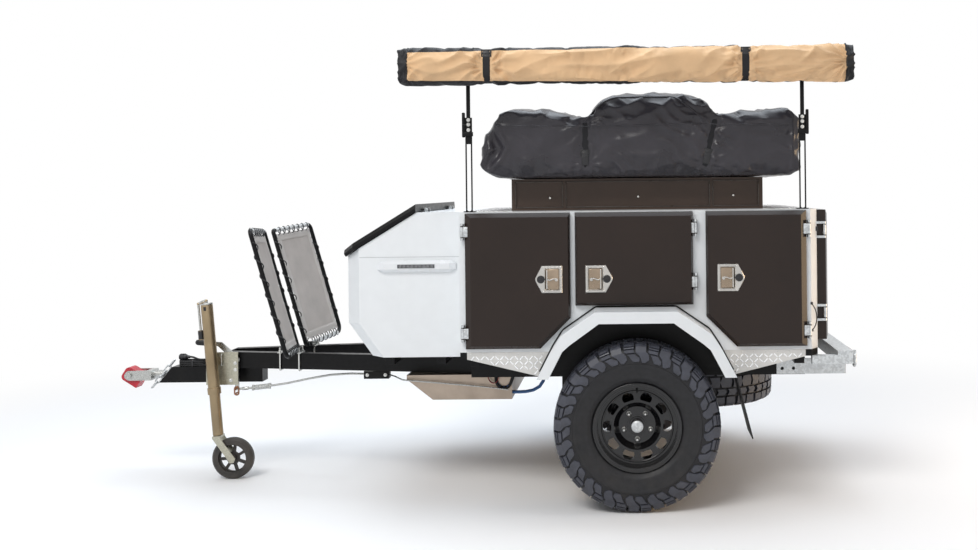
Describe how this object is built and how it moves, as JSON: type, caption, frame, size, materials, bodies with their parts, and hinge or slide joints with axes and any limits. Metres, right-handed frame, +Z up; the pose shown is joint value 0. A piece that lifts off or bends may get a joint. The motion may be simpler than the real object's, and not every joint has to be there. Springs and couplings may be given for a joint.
{
  "type": "overland camping trailer",
  "caption": "Boxy off-road camping trailer: white load body with black doors on an A-frame chassis, nose box, roof tent bag, rolled awning and jockey wheel.",
  "frame": {"origin": "middle of the trailer's box, on the floor it stands on", "axes": "+X to the trailer's rear, +Y to its right side, +Z up"},
  "size_m": [4.1003, 1.865, 2.321],
  "materials": {
    "body_white": "satin white coat",
    "door_black": "satin brown-black coat",
    "chassis_black": "satin black coat",
    "coupling_red": "moulded red cushion block",
    "zinc": "bright zinc",
    "galvanised": "dull galvanised",
    "olive_zinc": "olive zinc plate",
    "screen_mesh": "grey-beige shade mesh",
    "lamp_white": "white lamp moulding",
    "tread_plate": "five-bar tread plate",
    "rubber_black": "black rubber",
    "tank_steel": "brownish stainless",
    "hose_blue": "blue hose",
    "tyre": "black tyre rubber",
    "rim_black": "gloss black",
    "lamp_red": "red lens",
    "tent_black": "glossy coated fabric",
    "awning_tan": "tan coated canvas",
    "jack_rubber": "brown-black rubber",
    "latch_steel": "stainless steel"
  },
  "bodies": {
    "chassis": {"chassis_frame": "chassis_black", "coupling_yoke": "zinc", "coupling_block": "coupling_red", "safety_chain": "galvanised", "jack_bracket": "olive_zinc", "handbrake_lever": "olive_zinc", "brake_cable": "zinc", "rock_guard_frame": "chassis_black", "rock_guard_screens": "screen_mesh", "nose_box": "body_white", "nose_lights": "lamp_white", "floor_pan": "chassis_black", "side_wall_left": "body_white", "side_wall_right": "body_white", "end_walls": "body_white", "top_deck": "body_white", "wheel_tubs": "chassis_black", "fenders": "body_white", "sill_plates": "tread_plate", "mud_flaps": "rubber_black", "door_hinges": "galvanised", "suspension": "chassis_black", "tank_guard": "tank_steel", "hoses": "hose_blue", "spare_tyre": "tyre", "spare_rim": "rim_black", "rear_bumper": "galvanised", "shackles": "galvanised", "tail_lamps": "lamp_red", "riser_box": "door_black", "tent_bag": "tent_black", "awning_bag": "awning_tan", "awning_posts": "chassis_black", "lead_gland": "rubber_black", "lead_cable": "rubber_black", "lead_coil": "rubber_black", "lead_plug": "rubber_black"},
    "wheel_left": {"tyre_left": "tyre", "rim_left": "rim_black"},
    "wheel_right": {"tyre_right": "tyre", "rim_right": "rim_black"},
    "jack_tube_body": {"jack_tube": "olive_zinc"},
    "jack_leg_body": {"jack_leg": "zinc"},
    "jack_fork_body": {"jack_fork": "olive_zinc"},
    "jack_wheel_body": {"jack_wheel": "jack_rubber"},
    "front_left": {"front_door_left": "door_black", "front_latch_left": "latch_steel"},
    "front_right": {"front_door_right": "door_black", "front_latch_right": "latch_steel"},
    "mid_left": {"mid_door_left": "door_black", "mid_latch_left": "latch_steel"},
    "mid_right": {"mid_door_right": "door_black", "mid_latch_right": "latch_steel"},
    "rear_side_left": {"rear_side_door_left": "door_black", "rear_side_latch_left": "latch_steel"},
    "rear_side_right": {"rear_side_door_right": "door_black", "rear_side_latch_right": "latch_steel"},
    "rear_door_body": {"rear_door": "door_black", "rear_latch": "latch_steel"},
    "nose_lid_body": {"nose_lid": "door_black"}
  },
  "joints": [
    {"name": "wheel_left_spin", "type": "hinge", "parent": "chassis", "child": "wheel_left", "pos_m": [0.918, -0.79, 0.419], "axis": [0, 1, 0], "continuous": true},
    {"name": "wheel_right_spin", "type": "hinge", "parent": "chassis", "child": "wheel_right", "pos_m": [0.918, 0.79, 0.419], "axis": [0, 1, 0], "continuous": true},
    {"name": "jack_swing", "type": "hinge", "parent": "chassis", "child": "jack_tube_body", "pos_m": [-1.465, -0.19, 0.65], "axis": [0, 1, 0], "range_deg": [0, 90]},
    {"name": "jack_wind", "type": "slide", "parent": "jack_tube_body", "child": "jack_leg_body", "axis": [-0.0785, 0, 0.9969], "range_m": [0, 0.215]},
    {"name": "jack_swivel", "type": "hinge", "parent": "jack_leg_body", "child": "jack_fork_body", "pos_m": [-1.42244, -0.19, 0.10919], "axis": [-0.0785, 0, 0.9969], "continuous": true},
    {"name": "jack_wheel_spin", "type": "hinge", "parent": "jack_fork_body", "child": "jack_wheel_body", "pos_m": [-1.34867, -0.19, 0.115], "axis": [0, 1, 0], "continuous": true},
    {"name": "front_left_open", "type": "hinge", "parent": "chassis", "child": "front_left", "pos_m": [0.032, -0.726, 1.2], "axis": [0, 0, -1], "range_deg": [0, 100]},
    {"name": "front_right_open", "type": "hinge", "parent": "chassis", "child": "front_right", "pos_m": [0.032, 0.726, 1.2], "axis": [0, 0, 1], "range_deg": [0, 100]},
    {"name": "mid_left_open", "type": "hinge", "parent": "chassis", "child": "mid_left", "pos_m": [1.227, -0.726, 1.2], "axis": [0, 0, 1], "range_deg": [0, 100]},
    {"name": "mid_right_open", "type": "hinge", "parent": "chassis", "child": "mid_right", "pos_m": [1.227, 0.726, 1.2], "axis": [0, 0, -1], "range_deg": [0, 100]},
    {"name": "rear_side_left_open", "type": "hinge", "parent": "chassis", "child": "rear_side_left", "pos_m": [1.808, -0.726, 1.2], "axis": [0, 0, 1], "range_deg": [0, 100]},
    {"name": "rear_side_right_open", "type": "hinge", "parent": "chassis", "child": "rear_side_right", "pos_m": [1.808, 0.726, 1.2], "axis": [0, 0, -1], "range_deg": [0, 100]},
    {"name": "rear_door_open", "type": "hinge", "parent": "chassis", "child": "rear_door_body", "pos_m": [1.903, -0.632, 1.15], "axis": [0, 0, -1], "range_deg": [0, 120]},
    {"name": "nose_lid_open", "type": "hinge", "parent": "chassis", "child": "nose_lid_body", "pos_m": [-0.208, 0, 1.503], "axis": [0, 1, 0], "range_deg": [0, 80]}
  ]
}
